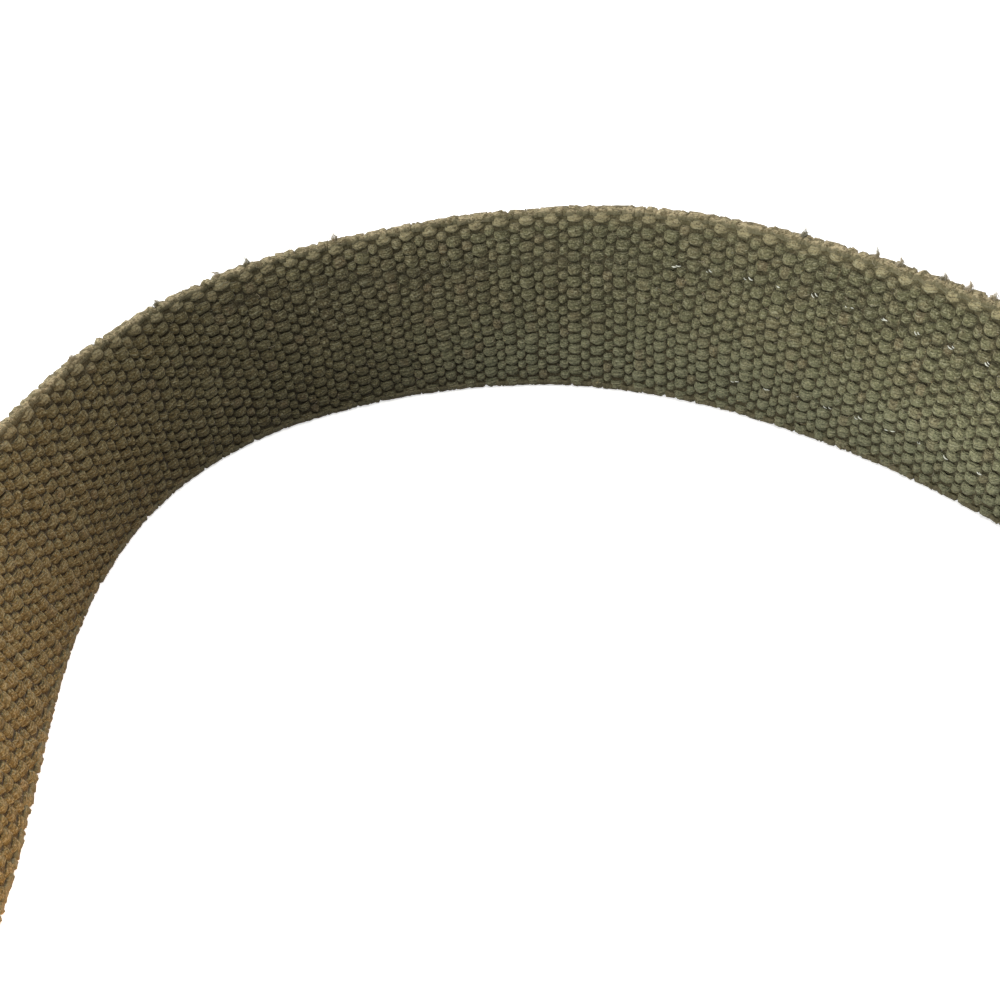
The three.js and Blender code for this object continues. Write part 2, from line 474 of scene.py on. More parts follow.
def drawn_tube(name, sides, rings):
    """A tube along X, drawn out of a circle ring by ring. A ring is its centre, width and thickness."""
    deselect()
    bpy.ops.mesh.primitive_circle_add(vertices=sides, radius=0.5, rotation=(0, math.radians(90), 0))
    tube = bpy.context.object
    tube.name = name
    bpy.ops.object.transform_apply(rotation=True)
    x, y, z, width, thickness = rings[0]
    bpy.ops.object.mode_set(mode="EDIT")
    bpy.ops.mesh.select_mode(type="EDGE")
    bpy.ops.mesh.select_all(action="SELECT")
    bpy.ops.transform.resize(value=(1, width, thickness), center_override=(0, 0, 0))
    bpy.ops.transform.translate(value=(x, y, z))
    for last, ring in zip(rings, rings[1:]):
        step = Vector(ring[:3]) - Vector(last[:3])
        bpy.ops.mesh.extrude_region_move(TRANSFORM_OT_translate={"value": step})
        bpy.ops.transform.resize(value=(1, ring[3] / last[3], ring[4] / last[4]), center_override=ring[:3])
    bpy.ops.object.mode_set(mode="OBJECT")
    return tube


def lay_map(tube, u, v):
    """The yarn map: u runs along the tube and v round it, from 0 to 1, with its seam closed."""
    layer = tube.data.uv_layers.new(name="yarn")
    for face in tube.data.polygons:
        loops = list(face.loop_indices)
        corners = [tube.data.loops[loop].vertex_index for loop in loops]
        crosses_seam = np.ptp(v[corners]) > 0.5
        for loop, corner in zip(loops, corners):
            over = 1 if crosses_seam and v[corner] < 0.5 else 0
            layer.data[loop].uv = (u[corner], v[corner] + over)


def turn_of(high, wide):
    """The turn round a tube, 0 to 1, of points this high and this far to the side of its middle."""
    return np.mod(np.arctan2(high, wide) / (2 * math.pi) + 1e-4, 1)


def lay_yarn_map(tube, rings):
    """The yarn map of a tube that was drawn along X through these rings."""
    points = points_of(tube)
    table = np.array(rings)
    ring = table[np.abs(points[:, :1] - table[:, 0]).argmin(axis=1)]
    v = turn_of((points[:, 2] - ring[:, 2]) / ring[:, 4], (points[:, 1] - ring[:, 1]) / ring[:, 3])
    lay_map(tube, (points[:, 0] - table[0, 0]) / (table[-1, 0] - table[0, 0]), v)


def shade_smooth(piece):
    piece.data.polygons.foreach_set("use_smooth", np.ones(len(piece.data.polygons), bool))


def copy_of(piece):
    """A copy with a mesh of its own."""
    twin = piece.copy()
    twin.data = piece.data.copy()
    bpy.context.collection.objects.link(twin)
    return twin


def joined(pieces, name):
    """The pieces as one."""
    deselect()
    for piece in pieces:
        piece.select_set(True)
    bpy.context.view_layer.objects.active = pieces[0]
    bpy.ops.object.join()
    pieces[0].name = name
    pieces[0].data.name = name
    return pieces[0]


def wander(points):
    """How far the picks stray along the loom and the faces rise or fall, in mm: slow waves of the hand."""
    along, up = points[:, 0], points[:, 1]
    stray = np.zeros(len(points))
    swell = np.zeros(len(points))
    for length, height, phase, turn in wander_waves:
        wave = np.sin(2 * math.pi * (along / length + up / height) + phase)
        stray += wave * wander_stray
        swell += np.sin(2 * math.pi * (along / length - up / height) + turn) * wander_swell
    return stray, swell


wander_waves = [
    (weave_random.uniform(9, 60), weave_random.uniform(7, 40) * weave_random.choice([-1, 1]),
     weave_random.uniform(0, 6.3), weave_random.uniform(0, 6.3))
    for wave in range(wander_count)
]
# Two sewn rows run lengthwise, and pull the cloth in along a groove. A row is a list of the distance
# along the belt and the height, in mm. The upper row starts as a bare crease, deepest at its start.
upper_row = [(470, 32.4), (480, 32.0), (490, 31.3), (500, 30.1), (517, 28.3), (555, 28.4), (598, 29.0),
             (634, 28.4), (1010, 28.4)]
lower_row = [(578, 7.0), (594, 8.0), (612, 8.4), (1010, 8.4)]
# Each row with where its groove begins and how deep it is.
sewn_rows = [(upper_row, 466, 1.0), (lower_row, 574, 0.8)]
groove_last = 1014
groove_ease = 8
groove_half = 0.85
groove_depth = 0.22
crease_end = 560
crease_ease = 20
crease_extra = 0.5


def groove(points):
    """How deep the cloth is pinched at each point: 1 in the middle of a sewn row, 0 away from both."""
    pinch = np.zeros(len(points))
    for row, first, depth in sewn_rows:
        places, heights = np.array(row).T
        middle = np.interp(points[:, 0], places, heights)
        near = np.exp(-(((points[:, 1] - middle) / groove_half) ** 2))
        begun = eased((points[:, 0] - first) / groove_ease)
        running = begun * eased((groove_last - points[:, 0]) / groove_ease)
        creased = 1 + crease_extra * eased((crease_end - points[:, 0]) / crease_ease)
        pinch = np.maximum(pinch, near * running * depth * creased)
    return pinch


def settle(points):
    """Lets loom points stray, swell and sink into the sewn rows, as the whole cloth does."""
    stray, swell = wander(points)
    settled = points.copy()
    settled[:, 0] += stray
    settled[:, 2] *= 1 + swell - groove_depth * groove(points)
    return settled


half_repeat = repeat_length / 2
half_cord = [(share * half_repeat, height, width, thick) for share, height, width, thick in nub_profile]
cord_rings = [
    (web_start + half_repeat + side * place, 0, height, width, thick / flat_side)
    for side, rows in ((-1, half_cord[::-1]), (1, half_cord[1:]))
    for place, height, width, thick in rows
]
cord_model = drawn_tube("warp_cord", cord_sides, cord_rings)
lay_yarn_map(cord_model, cord_rings)
points = points_of(cord_model)
ring_widths = np.array([ring[3] for ring in cord_rings])
half_widths = ring_widths[np.abs(points[:, :1] - [[ring[0] for ring in cord_rings]]).argmin(axis=1)] / 2
points[:, 1] *= np.where(np.abs(points[:, 1]) < 0.75 * half_widths, squared, 1.0)
move_points(cord_model, points)
repeat_along(cord_model, repeats, repeat_length)
close_ends(cord_model)
shade_smooth(cord_model)


def worked_cord(number):
    """One cord in its place in the cloth, with the small faults of its nubs."""
    cord = copy_of(cord_model)
    points = points_of(cord)
    if number % 2:
        points[:, 2] *= -1
        cord.data.flip_normals()
    spot = (points[:, 0] - web_start) / half_repeat
    nubs = np.arange(2 * repeats + 3)
    draws = weave_random.normal(size=(4, len(nubs))).clip(-2, 2)
    taller, wider, shifted, tint = draws
    crest = np.abs(points[:, 2])
    points[:, 2] *= 1 + nub_taller * np.interp(spot, nubs, taller) - nub_pressed
    points[:, 1] *= 1 + nub_wider * np.interp(spot, nubs, wider)
    points[:, 0] += nub_late * np.interp(spot, nubs, shifted)
    sways = np.arange(6 * repeats + 8) / 3
    points[:, 1] += cord_sway * np.interp(spot, sways, weave_random.normal(size=len(sways)).clip(-2, 2))
    points[:, 1:] += surface_rough * weave_random.normal(size=(len(points), 2)).clip(-2, 2)
    middle = side_margin + (number + 0.5) * cord_pitch
    if number in (0, cord_count - 1):
        points[:, 1] *= outer_squeeze
        middle += outer_inset if number == 0 else -outer_inset
    points[:, 1] = np.maximum(points[:, 1] + middle, 0.02)
    paint(cord, "crest", eased((crest - crest_foot) / crest_climb))
    paint(cord, "tint", tint[np.rint(spot).astype(int)])
    paint(cord, "cord", np.full(len(points), float(number)))
    rim = np.minimum(points[:, 1], web_width - points[:, 1])
    wear = np.where(points[:, 1] > web_width / 2, 1.0, lower_rim_wear)
    paint(cord, "rim", (1 - eased(rim / rim_reach)) * wear)
    paint(cord, "along", points[:, 0] / loop_length)
    paint(cord, "pinch", groove(points))
    paint(cord, "low", 1 - points[:, 1] / web_width)
    from_spot = (points[:, :2] - spot_place) / spot_reach
    paint(cord, "soiled", np.exp(-(from_spot**2).sum(axis=1)))
    move_points(cord, wrapped(settle(points)))
    return cord


cord_pieces = []
for first in range(0, cord_count, cords_in_piece):
    cords = [worked_cord(number) for number in range(first, min(first + cords_in_piece, cord_count))]
    cord_pieces.append(joined(cords, f"warp_cords_{first // cords_in_piece + 1}"))
bpy.data.objects.remove(cord_model)

plies = 9
deep_olive = srgb(93, 91, 66)
clear_olive = srgb(106, 104, 76)
# Painted light: the paler olive of the far stretch, as a lit side looks.
painted_light_olive = srgb(120, 119, 90)
dust = srgb(124, 108, 82)
warm_brown = srgb(112, 96, 60)
# Painted light: the pale grey that the table's bounce gives the lower part of the far stretch.
painted_bounce_grey = srgb(147, 149, 120)
soil = srgb(66, 56, 38)
pale_nub = srgb(140, 136, 102)
pink_nub = srgb(122, 98, 76)
rubbed_pale = srgb(168, 155, 120)
# A painted shade and a painted highlight for the cords' fibres and plies.
fibre_shadow = srgb(50, 46, 30)
fibre_painted_highlight = srgb(184, 180, 152)
# A painted highlight for the fluff's high points, then the colour of dark specks.
fluff_painted_highlight = srgb(174, 167, 134)
speck_dark = srgb(60, 56, 40)
# Painted shade for the cords' sides and crevices, olive and brown.
crevice_shade_olive = srgb(66, 61, 40)
crevice_shade_brown = srgb(44, 36, 20)
# Painted shade for the grooves of the sewn rows.
groove_painted_shade = srgb(46, 40, 28)
cotton_sheen = srgb(190, 184, 156)
cotton = Finish("olive_cotton")
lay = cotton.node("ShaderNodeSeparateXYZ", {}, {0: cotton.node("ShaderNodeUVMap", {"uv_map": "yarn"})})
along_cord = lay.outlet("X")
round_cord = lay.outlet("Y")
cord_number = painted(cotton, "cord")
crest = painted(cotton, "crest")
tint = painted(cotton, "tint")
rim = painted(cotton, "rim")
along_belt = painted(cotton, "along")
pinch = painted(cotton, "pinch")
low = painted(cotton, "low")
soiled = painted(cotton, "soiled")
fibre_lay = cotton.node("ShaderNodeCombineXYZ", {}, {
    "X": along_cord * 5.0, "Y": round_cord * 26.0, "Z": cord_number * 7.3})
fibres = cotton.node("ShaderNodeTexNoise", {}, {"Vector": fibre_lay, "Scale": 1.0, "Detail": 3.0})
ply_wave = cotton.number("SINE", (round_cord * plies + along_cord * 0.6 + fibres * 0.9) * (2 * math.pi))
surface_place = cotton.node("ShaderNodeTexCoord", output="Object")
fluff = cotton.node("ShaderNodeTexNoise", {}, {"Vector": surface_place, "Scale": 2600.0, "Detail": 3.0})
stain = cotton.node("ShaderNodeTexNoise", {}, {"Vector": surface_place, "Scale": 42.0, "Detail": 3.0})
patch = cotton.node("ShaderNodeTexNoise", {}, {"Vector": surface_place, "Scale": 260.0, "Detail": 2.0})
olive = cotton.blended(cotton.ramped(stain, 0.35, 0.68), deep_olive, clear_olive)
# Painted light: the far stretch is painted paler, most of all low down, as a lit side would look.
painted_light_share = cotton.ramped(along_belt, 0.46, 0.64) * cotton.ramped(low, 0.05, 0.75)
painted_lit = cotton.blended(painted_light_share * 0.5, olive, painted_light_olive)
dusty = cotton.blended(cotton.ramped(patch + stain * 0.6, 0.78, 0.97) * 0.4, painted_lit, dust)
browned = cotton.blended(cotton.ramped(along_belt, 0.52, 0.41), dusty, warm_brown)
# Painted light from the table's bounce: the lower part of the far stretch turns paler grey.
painted_bounce_share = cotton.ramped(low, 0.42, 0.9) * cotton.ramped(along_belt, 0.475, 0.51)
bounce_lit = cotton.blended(painted_bounce_share * 0.66, browned, painted_bounce_grey)
spotted = cotton.blended(soiled * 0.5, bounce_lit, soil)
nub_light = cotton.blended(cotton.ramped(tint, -1.6, 1.6) * 0.25, spotted, pale_nub)
pink = cotton.blended(cotton.ramped(tint, 1.1, 1.9) * 0.38, nub_light, pink_nub)
rim_share = cotton.ramped(rim + patch * 0.7 - 0.35, 0.10, 0.7)
rubbed = cotton.blended(rim_share * 0.8, pink, rubbed_pale)
# Painted shade where the fibres and plies sink in the bump, painted highlight where they stand up.
between = cotton.ramped(fibres - ply_wave * 0.08, 0.50, 0.30)
fibre_dark = cotton.blended(between * 0.55, rubbed, fibre_shadow)
on_fibre = cotton.ramped(fibres + ply_wave * 0.07, 0.54, 0.72)
fibre_highlit = cotton.blended(on_fibre * 0.45, fibre_dark, fibre_painted_highlight)
# Painted highlight on the high points of the fluff bump.
fluff_highlit = cotton.blended(cotton.ramped(fluff, 0.53, 0.64) * 0.5, fibre_highlit, fluff_painted_highlight)
specked = cotton.blended(cotton.ramped(fluff, 0.46, 0.36) * 0.5, fluff_highlit, speck_dark)
# Painted shade: away from its nub crests, down its sides and into the crevices between the nubs, each cord
# darkens, browner on the near side.
depth = cotton.ramped(crest + fluff * 0.6 + rim * 0.2 - 0.3, -0.2, 0.55)
crevice_shade = cotton.blended(cotton.ramped(along_belt, 0.56, 0.42), crevice_shade_olive, crevice_shade_brown)
crevice_shaded = cotton.blended(depth, crevice_shade, specked)
# Painted shade in the grooves that the sewn rows pull into the cloth.
sunk = cotton.blended(pinch * 0.30, crevice_shaded, groove_painted_shade)
relief = ply_wave * 0.4 + fibres + fluff
raised = cotton.node("ShaderNodeBump", {}, {"Strength": 1.0, "Distance": 0.0003, "Height": relief})
cotton_material = cotton.done(cotton.node("ShaderNodeBsdfPrincipled", {}, {
    "Base Color": sunk,
    "Roughness": 0.86 + fluff * 0.12,
    "Specular IOR Level": 0.2,
    "Sheen Weight": 0.3,
    "Sheen Roughness": 0.5,
    "Sheen Tint": cotton_sheen,
    "Normal": raised,
}))
for piece in cord_pieces:
    piece.data.materials.append(cotton_material)
    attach(piece, "root")

# The picks.
# A thick and a thin pick of paler cotton cross the belt in turns, buried between the warp cords.
# Each is of two threads, which turn back over the outermost cord as two small saddles on either edge.
pick_sides = 6
pick_inset = 0.9
thick_pick = (2.10, 0.80)
thin_pick = (1.50, 0.66)
saddle_sides = 5
saddle_steps = 4
saddle_radius = {1: 0.76, -1: 0.90}
saddle_width = 2.10
saddle_thickness = 0.72
saddle_corner = 0.28
saddle_reach = 0.36
lump_pitch = 0.8
lump_height = 0.10
nub_lump = 0.09
saddle_longer = 0.20
saddle_shift = 0.20
saddle_slant = 0.26
saddle_thicker = 0.08
saddle_proud = 0.05
saddle_rough = 0.05
# How much of their own colour the lower saddles keep against the picks' painted shade.
lower_selvedge_unshaded = 0.95


def pick_tube(name, place, width, thickness):
    """One pick across the belt, lying along Y at a place down the loom."""
    rings = [(gap, 0, 0, width, thickness) for gap in (pick_inset, web_width - pick_inset)]
    pick = drawn_tube(name, pick_sides, rings)
    lay_yarn_map(pick, rings)
    close_ends(pick)
    pick.rotation_euler = (0, 0, math.radians(90))
    pick.location = (place, 0, 0)
    bpy.ops.object.transform_apply(location=True, rotation=True)
    return pick


def saddle(place, side):
    """One thread's turn over an edge, the top one for side 1: a ring of the thread spun from face to face."""
    radius = saddle_radius[side]
    middle = web_width / 2 + side * (web_width / 2 - radius - saddle_thickness / 2)
    start = (place, middle, -radius)
    deselect()
    bpy.ops.mesh.primitive_circle_add(vertices=saddle_sides, radius=0.5, location=start,
                                      rotation=(math.radians(90), 0, 0))
    turn = bpy.context.object
    bpy.ops.object.transform_apply(location=True, rotation=True)
    bpy.ops.object.mode_set(mode="EDIT")
    bpy.ops.mesh.select_all(action="SELECT")
    bpy.ops.transform.resize(value=(saddle_width, 1, saddle_thickness), center_override=start)
    bpy.ops.mesh.spin(steps=saddle_steps, angle=-side * math.pi, center=(place, middle, 0), axis=(1, 0, 0))
    bpy.ops.object.mode_set(mode="OBJECT")
    points = points_of(turn)
    across = (points[:, 1] - middle) * side
    swept = np.arctan2(across, -points[:, 2]) / math.pi
    from_axis = np.hypot(across, points[:, 2]) - radius
    lay_map(turn, swept, turn_of(from_axis / saddle_thickness, (points[:, 0] - place) / saddle_width))
    pulled_square = 1 + saddle_corner * np.sin(2 * math.pi * swept) ** 2
    points[:, 1] = middle + side * across * pulled_square
    points[:, 2] *= pulled_square
    move_points(turn, points)
    close_ends(turn)
    return turn


picks = joined([
    pick_tube("thick_pick", web_start + half_repeat, *thick_pick),
    pick_tube("thin_pick", web_start + repeat_length, *thin_pick),
], "weft_picks")
repeat_along(picks, repeats, repeat_length)
shade_smooth(picks)
points = points_of(picks)
paint(picks, "tint", np.zeros(len(points)))
# Rim 0 gives the buried picks the weft's painted shade in full.
paint(picks, "rim", np.zeros(len(points)))
paint(picks, "along", points[:, 0] / loop_length)
move_points(picks, wrapped(settle(points)))

saddle_pitch = repeat_length / 4
first_saddle = web_start + saddle_pitch / 2
saddles = joined([saddle(first_saddle + number * saddle_pitch, side)
                  for number in range(4) for side in (1, -1)], "selvedge_turns")
repeat_along(saddles, repeats, repeat_length)
shade_smooth(saddles)
points = points_of(saddles)
saddle_number = np.rint((points[:, 0] - first_saddle) / saddle_pitch).astype(int)
on_top = (points[:, 1] > web_width / 2).astype(int)
saddle_draws = weave_random.normal(size=(5, 2, 4 * repeats + 1)).clip(-2, 2)
longer, thicker, shifted, proud, slanted = (draw[on_top, saddle_number] for draw in saddle_draws)
saddle_middle = first_saddle + saddle_number * saddle_pitch
points[:, 0] = saddle_middle + (points[:, 0] - saddle_middle) * (1 + saddle_longer * longer)
points[:, 0] += saddle_shift * shifted + saddle_slant * slanted * points[:, 2]
points[:, 2] *= 1 + saddle_thicker * thicker
lump_places = np.arange(web_start - lump_pitch, web_end + 2 * lump_pitch, lump_pitch)
lumps = weave_random.normal(size=(2, len(lump_places))).clip(-1.5, 2) * lump_height
lumped = np.where(on_top, np.interp(points[:, 0], lump_places, lumps[1]) + saddle_reach,
                  np.interp(points[:, 0], lump_places, lumps[0]).clip(-1, 0))
lumped += nub_lump * np.cos(2 * math.pi * points[:, 0] / half_repeat)
points[:, 1] += np.where(on_top, 1, -1) * (lumped + saddle_proud * (proud - 1).clip(-2, 0))
points[:, 1] += saddle_rough * weave_random.normal(size=len(points)).clip(-2, 2) * on_top
points[:, 1] = np.maximum(points[:, 1], 0)
paint(saddles, "along", points[:, 0] / loop_length)
paint(saddles, "tint", saddle_draws[0][on_top, saddle_number])
# The upper saddles keep their colour; the lower ones take a little of the painted shade.
paint(saddles, "rim", np.where(on_top, 1.0, lower_selvedge_unshaded))
move_points(saddles, wrapped(settle(points)))

deep_tan = srgb(150, 137, 105)
clear_tan = srgb(188, 172, 138)
olive_thread = srgb(122, 118, 88)
pale_streak = srgb(200, 186, 154)
dark_fleck = srgb(66, 58, 38)
dark_clump = srgb(80, 72, 48)
tucked_olive = srgb(96, 92, 70)
# A painted shade for the buried picks.
buried_painted_shade = srgb(58, 52, 36)
weft_sheen = srgb(200, 190, 160)
weft = Finish("tan_cotton")
lay = weft.node("ShaderNodeSeparateXYZ", {}, {0: weft.node("ShaderNodeUVMap", {"uv_map": "yarn"})})
streak_lay = weft.node("ShaderNodeCombineXYZ", {}, {
    "X": painted(weft, "along") * (loop_length / 0.7), "Y": lay.outlet("X") * 20.0})
streaks = weft.node("ShaderNodeTexNoise", {}, {"Vector": streak_lay, "Scale": 1.0, "Detail": 3.0})
surface_place = weft.node("ShaderNodeTexCoord", output="Object")
fluff = weft.node("ShaderNodeTexNoise", {}, {"Vector": surface_place, "Scale": 2600.0, "Detail": 3.0})
clumps = weft.node("ShaderNodeTexNoise", {}, {"Vector": surface_place, "Scale": 700.0, "Detail": 2.0})
patch = weft.node("ShaderNodeTexNoise", {}, {"Vector": surface_place, "Scale": 230.0, "Detail": 2.0})
rim = painted(weft, "rim")
tan = weft.blended(weft.ramped(patch, 0.36, 0.66), deep_tan, clear_tan)
over_face = weft.number("ABSOLUTE", weft.number("FRACT", lay.outlet("X")) - 0.5) + clumps * 0.5
mixed = weft.blended(weft.ramped(painted(weft, "tint"), 0.2, 1.4) * 0.6, tan, olive_thread)
streaked = weft.blended(weft.ramped(streaks, 0.50, 0.62) * 0.7, mixed, pale_streak)
fleck = weft.ramped(fluff * 0.6 + streaks * 0.4, 0.50, 0.40)
flecked = weft.blended(fleck * 0.8, streaked, dark_fleck)
clumped = weft.blended(weft.ramped(clumps, 0.50, 0.40) * 0.7, flecked, dark_clump)
tucked = weft.blended(weft.ramped(over_face, 0.46, 0.64) * 0.8, clumped, tucked_olive)
# Painted shade: the picks, buried between the cords, take the dark colour in full, and the lower saddles a
# little of it.
buried = weft.blended(rim, buried_painted_shade, tucked)
raised = weft.node("ShaderNodeBump", {}, {"Strength": 1.0, "Distance": 0.00016,
                                          "Height": streaks * 1.6 + fluff * 1.4 + clumps * 1.6})
weft_material = weft.done(weft.node("ShaderNodeBsdfPrincipled", {}, {
    "Base Color": buried,
    "Roughness": 0.9,
    "Specular IOR Level": 0.2,
    "Sheen Weight": 0.3,
    "Sheen Roughness": 0.5,
    "Sheen Tint": weft_sheen,
    "Normal": raised,
}))
for piece in (picks, saddles):
    piece.data.materials.append(weft_material)
    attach(piece, "root")

# The sewn rows.
# White thread shows as short slanted dashes of two strands that come up between the nubs and go down again.
# One bent strand is drawn, and copied for every stitch. Some stitches have sunk out of sight.
strand_length = 1.15
strand_width = 0.24
strand_rise = 0.26
strand_gap = 0.22
strand_slip = 0.7
strand_sizes = (0.6, 1.1)
stitch_lean = -0.30
stitch_level = 0.80
stitch_sunk = 0.10
stitch_last = 1008.0
thread_grey = srgb(196, 196, 180)
thread_white = srgb(246, 246, 238)
# Each row with its first stitch and its pitch.
stitch_rows = [(upper_row, 567.7, 7.41), (lower_row, 583.9, 6.95)]
strand_rings = [
    (share * strand_length, 0, strand_rise * (1 - (2 * share) ** 2),
     strand_width * width, strand_width * width)
    for share, width in ((-0.5, 0.7), (-0.25, 1.0), (0.0, 1.0), (0.25, 1.0), (0.5, 0.7))
]


def sown(name, model, places, turns, sizes):
    """Copies of a small model, joined: each is scaled and turned by its matrix, then put at its place."""
    model_points = points_of(model)
    model.data.calc_loop_triangles()
    corners = np.array([triangle.vertices for triangle in model.data.loop_triangles])
    scaled = model_points[None] * sizes[:, None]
    points = np.einsum("nij,nkj->nki", turns, scaled) + places[:, None]
    faces = corners[None] + (np.arange(len(places)) * len(model_points))[:, None, None]
    mesh = bpy.data.meshes.new(name)
    mesh.from_pydata(points.reshape(-1, 3).tolist(), [], faces.reshape(-1, 3).tolist())
    piece = bpy.data.objects.new(name, mesh)
    bpy.context.collection.objects.link(piece)
    shade_smooth(piece)
    bpy.data.objects.remove(model)
    return piece


def turning(slant, tip):
    """Matrices that turn a thing lying along X by a slant in the cloth's plane, after tipping it up."""
    flat, rise = np.cos(tip), np.sin(tip)
    across, side = np.cos(slant), np.sin(slant)
    zero = np.zeros_like(flat)
    tipped = np.array([[flat, zero, -rise], [zero, zero + 1, zero], [rise, zero, flat]])
    slanted = np.array([[across, -side, zero], [side, across, zero], [zero, zero, zero + 1]])
    return np.einsum("ijn,jkn->nik", slanted, tipped)


stitch_random = np.random.default_rng(11)
strands = []
for row, first, pitch in stitch_rows:
    for place in np.arange(first, stitch_last, pitch):
        place += stitch_random.normal(0, 0.35)
        height = np.interp(place, *np.array(row).T)
        for face in (1, -1):
            shown = stitch_random.uniform() > stitch_sunk
            lean = stitch_random.normal(stitch_lean, 0.22)
            for strand in range(2):
                across = (strand - 0.5) * strand_gap + stitch_random.normal(0, 0.07)
                slip = (strand - 0.5) * strand_slip + stitch_random.normal(0, 0.15)
                size = stitch_random.uniform(*strand_sizes)
                level = stitch_random.normal(stitch_level, 0.08)
                if shown:
                    strands.append((place + slip, height + across, face * level, lean, size, face))
strands = np.array(strands)
strand_model = drawn_tube("stitch_strand", 4, strand_rings)
close_ends(strand_model)
untipped = np.zeros(len(strands))
sizes = np.stack([strands[:, 4], strands[:, 4], strands[:, 4] * strands[:, 5]], axis=1)
stitches = sown("stitches", strand_model, strands[:, :3], turning(strands[:, 3], untipped), sizes)
move_points(stitches, wrapped(points_of(stitches)))
turn_faces_out(stitches)
thread = Finish("white_thread")
ply = thread.node("ShaderNodeTexNoise", {}, {
    "Vector": thread.node("ShaderNodeTexCoord", output="Object"), "Scale": 5000.0, "Detail": 2.0})
stitches.data.materials.append(thread.done(thread.node("ShaderNodeBsdfPrincipled", {}, {
    "Base Color": thread.blended(ply, thread_grey, thread_white),
    "Roughness": 0.42,
    "Sheen Weight": 0.2,
    "Normal": thread.node("ShaderNodeBump", {}, {"Strength": 0.6, "Distance": 0.00004, "Height": ply}),
})))
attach(stitches, "root")

# The fuzz.
# Worn cotton sheds short curled fibres, thickest along both edges, with a few pointed tufts that stand
# up from the top one. Fibres are drawn once in three bends and sown over the flat cloth.
fibre_width = 0.05
fibre_length = 1.0
fibre_bends = (0.12, 0.30, -0.22)
face_fibres = 2600
edge_fibres = 1500
tuft_fibres = 54
any_way = (-3.1, 3.1)
face_level = 1.12
face_lengths = (0.5, 1.7)
edge_level = 0.15
edge_half = 1.1
edge_lengths = (0.4, 1.5)
lower_edge_share = 0.6
tuft_heights = (1.1, 1.9)
tuft_width = 1.9
tuft_spread = 0.42
lint_olive = srgb(120, 112, 84)
lint_tan = srgb(176, 160, 130)
tuft_places = [442, 462, 475, 481, 499, 592, 607, 612, 621, 626, 631, 660, 702, 731, 790, 846]
fuzz_random = np.random.default_rng(23)


def fibre_model(name, bend):
    """A thin curled fibre along X that tapers to its tip."""
    rings = [
        (share * fibre_length, bend * math.sin(share * 4.0), bend * 1.2 * share**2, width, width)
        for share, width in ((0.0, fibre_width), (0.5, fibre_width), (1.0, 0.3 * fibre_width))
    ]
    model = drawn_tube(name, 3, rings)
    close_ends(model)
    return model


def facing_out(slant, tip, edge):
    """Turns for fibres that lie along the cloth and stand up from a face or an edge of it."""
    turns = turning(slant, tip)
    if edge:
        swap = np.array([[1, 0, 0], [0, 0, edge], [0, -edge, 0]])
        turns = np.einsum("ij,njk->nik", swap, turns)
    return turns


fuzz_parts = []
for number, bend in enumerate(fibre_bends):
    for side in (1, -1):
        count = face_fibres // 2
        along = fuzz_random.uniform(web_start + 1, web_end - 1, count)
        up = fuzz_random.uniform(0.5, web_width - 0.5, count)
        rise = np.full(count, face_level * side)
        places = np.stack([along, up, rise], axis=1)
        tip = fuzz_random.uniform(0.05, 0.45, count) * side
        turns = turning(fuzz_random.uniform(*any_way, count), tip)
        length = fuzz_random.uniform(*face_lengths, count)
        sizes = np.stack([length, length, np.full(count, side)], axis=1)
        fuzz_parts.append(sown(f"fuzz_{number}_{side}", fibre_model("fibre", bend), places, turns, sizes))
    for edge, height in ((1, web_width - edge_level), (-1, edge_level)):
        count = edge_fibres // 2
        along = fuzz_random.uniform(web_start + 1, web_end - 1, count)
        rise = fuzz_random.uniform(-edge_half, edge_half, count)
        places = np.stack([along, np.full(count, height), rise], axis=1)
        highest = 0.9 if edge > 0 else 0.25
        slant = fuzz_random.uniform(*any_way, count)
        turns = facing_out(slant, fuzz_random.uniform(0.05, highest, count), edge)
        length = fuzz_random.uniform(*edge_lengths, count) * (1 if edge > 0 else lower_edge_share)
        sizes = np.stack([length, length, np.ones(count)], axis=1)
        fuzz_parts.append(sown(f"edge_{number}_{edge}", fibre_model("fibre", bend), places, turns, sizes))
    in_tuft = tuft_fibres // len(fibre_bends)
    along = np.repeat(tuft_places, in_tuft)
    count = len(along)
    tip_lean = np.repeat(fuzz_random.normal(0.1, 0.3, len(tuft_places)), in_tuft)
    tip_height = np.repeat(fuzz_random.uniform(*tuft_heights, len(tuft_places)), in_tuft)
    roots = np.stack([along + fuzz_random.normal(0, tuft_spread, count), np.full(count, web_width - 0.1),
                      fuzz_random.normal(0, 0.35, count)], axis=1)
    tips = np.stack([along + tip_lean, web_width + tip_height, np.zeros(count)], axis=1)
    reach = tips - roots + fuzz_random.normal(0, 0.12, (count, 3))
    length = np.linalg.norm(reach, axis=1) * fuzz_random.uniform(0.6, 1.05, count)
    slants = np.arctan2(reach[:, 1], reach[:, 0])
    turns = turning(slants, np.arctan2(reach[:, 2], np.hypot(reach[:, 0], reach[:, 1])))
    sizes = np.stack([length, np.full(count, tuft_width), np.full(count, tuft_width)], axis=1)
    fuzz_parts.append(sown(f"tuft_{number}", fibre_model("fibre", bend), roots, turns, sizes))
fuzz = joined(fuzz_parts, "fuzz")
points = wrapped(points_of(fuzz))
points[:, 2] = np.maximum(points[:, 2], 0)
move_points(fuzz, points)
turn_faces_out(fuzz)
lint = Finish("loose_fibre")
shade_mix = lint.node("ShaderNodeTexNoise", {}, {
    "Vector": lint.node("ShaderNodeTexCoord", output="Object"), "Scale": 160.0, "Detail": 1.0})
fuzz.data.materials.append(lint.done(lint.node("ShaderNodeBsdfPrincipled", {}, {
    "Base Color": lint.blended(lint.ramped(shade_mix, 0.38, 0.62), lint_olive, lint_tan),
    "Roughness": 0.9,
    "Sheen Weight": 0.4,
})))
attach(fuzz, "root")

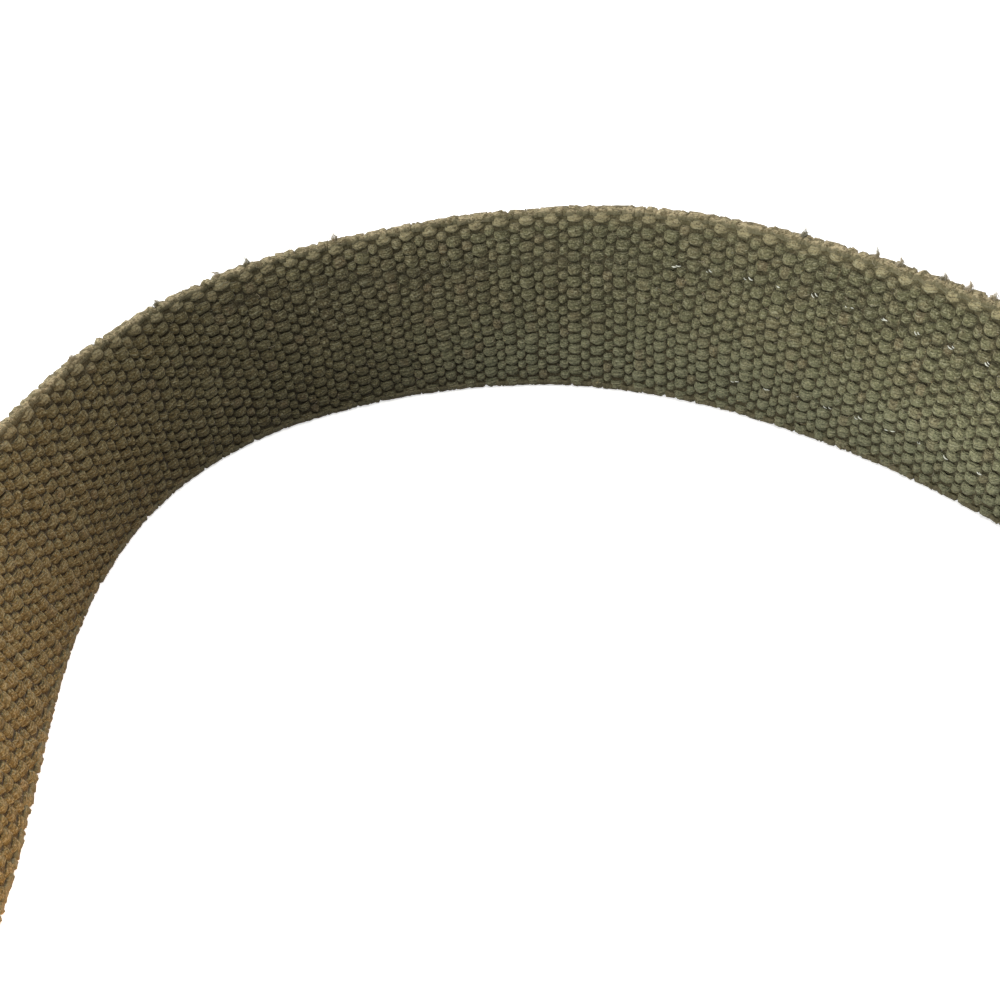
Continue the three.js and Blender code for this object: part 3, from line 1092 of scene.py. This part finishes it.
# The buckle.
# A plain sleeve bent from one strip of sheet steel, painted dark and rubbed to bare metal on its lips and
# corners. The two ends of the webbing pass through it one over the other, and friction holds the belt.
buckle_corner = 2.4
lip_round = 0.4
corner_steps = 6
paint_black = srgb(34, 35, 30)
paint_grey = srgb(56, 56, 48)
steel_dull = srgb(120, 114, 100)
steel_clear = srgb(168, 160, 142)
buckle_size = [(high - low) / metres for low, high in zip(buckle_low, buckle_high)]
buckle_middle = [(high + low) / 2 / metres for low, high in zip(buckle_low, buckle_high)]
deselect()
bpy.ops.mesh.primitive_cube_add(size=1, location=buckle_middle, scale=buckle_size)
buckle = bpy.context.object
buckle.name = "buckle_sleeve"
bpy.ops.object.transform_apply(location=True, scale=True)
edit_ends(buckle)
bpy.ops.mesh.delete(type="ONLY_FACE")
bpy.ops.object.mode_set(mode="OBJECT")
edit_long_edges(buckle, 0, buckle_size[0] / 2)
bpy.ops.mesh.bevel(offset=buckle_corner, segments=corner_steps)
bpy.ops.object.mode_set(mode="OBJECT")
turn_faces_out(buckle)
wall = buckle.modifiers.new("sheet", "SOLIDIFY")
wall.thickness = buckle_sheet
wall.offset = -1
wall.use_even_offset = True
bpy.ops.object.modifier_apply(modifier=wall.name)
lips = buckle.modifiers.new("lips", "BEVEL")
lips.width = lip_round
lips.segments = 3
lips.limit_method = "ANGLE"
lips.angle_limit = math.radians(50)
bpy.ops.object.modifier_apply(modifier=lips.name)
move_points(buckle, points_of(buckle) * metres)
bpy.ops.object.shade_smooth_by_angle(angle=math.radians(40))
steel = Finish("worn_dark_paint")
place = steel.node("ShaderNodeTexCoord", output="Object")
spread = steel.node("ShaderNodeSeparateXYZ", {}, {0: place})
scratch_lay = steel.node("ShaderNodeMapping", {}, {"Vector": place, "Scale": (220.0, 900.0, 1500.0)})
scratches = steel.node("ShaderNodeTexNoise", {}, {"Vector": scratch_lay, "Scale": 1.0, "Detail": 4.0})
grain = steel.node("ShaderNodeTexNoise", {}, {"Vector": place, "Scale": 2600.0, "Detail": 3.0})
cloud = steel.node("ShaderNodeTexNoise", {}, {"Vector": place, "Scale": 320.0, "Detail": 4.0})


def from_middle(axis, number):
    """How far a point of the buckle is from its middle along one axis, in mm."""
    return steel.number("ABSOLUTE", spread.outlet(axis) * (1 / metres) - buckle_middle[number])


to_lip = buckle_size[0] / 2 - from_middle("X", 0)
to_face = buckle_size[1] / 2 - from_middle("Y", 1)
to_edge = buckle_size[2] / 2 - from_middle("Z", 2)
rubbed_lip = steel.ramped(to_lip + cloud * 1.6 - 0.8, 1.0, 0.2)
rubbed_corner = steel.ramped(to_face + to_edge + cloud * 3.4 - 1.7, 2.2, 0.7)
rubbed_spot = steel.ramped(scratches * 0.6 + cloud * 0.5, 0.66, 0.72)
bare = steel.number("MAXIMUM", steel.number("MAXIMUM", rubbed_lip, rubbed_corner), rubbed_spot * 0.8)
paint_colour = steel.blended(cloud, paint_black, paint_grey)
metal_colour = steel.blended(grain, steel_dull, steel_clear)
height = grain * 0.5 + scratches * 0.4 - bare * 0.8
buckle.data.materials.append(steel.done(steel.node("ShaderNodeBsdfPrincipled", {}, {
    "Base Color": steel.blended(bare, paint_colour, metal_colour),
    "Metallic": bare * 0.9,
    "Roughness": 0.52 - bare * 0.14 + grain * 0.12,
    "Normal": steel.node("ShaderNodeBump", {}, {"Strength": 0.5, "Distance": 0.00006, "Height": height}),
})))
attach(buckle, "root")
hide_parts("buckle")
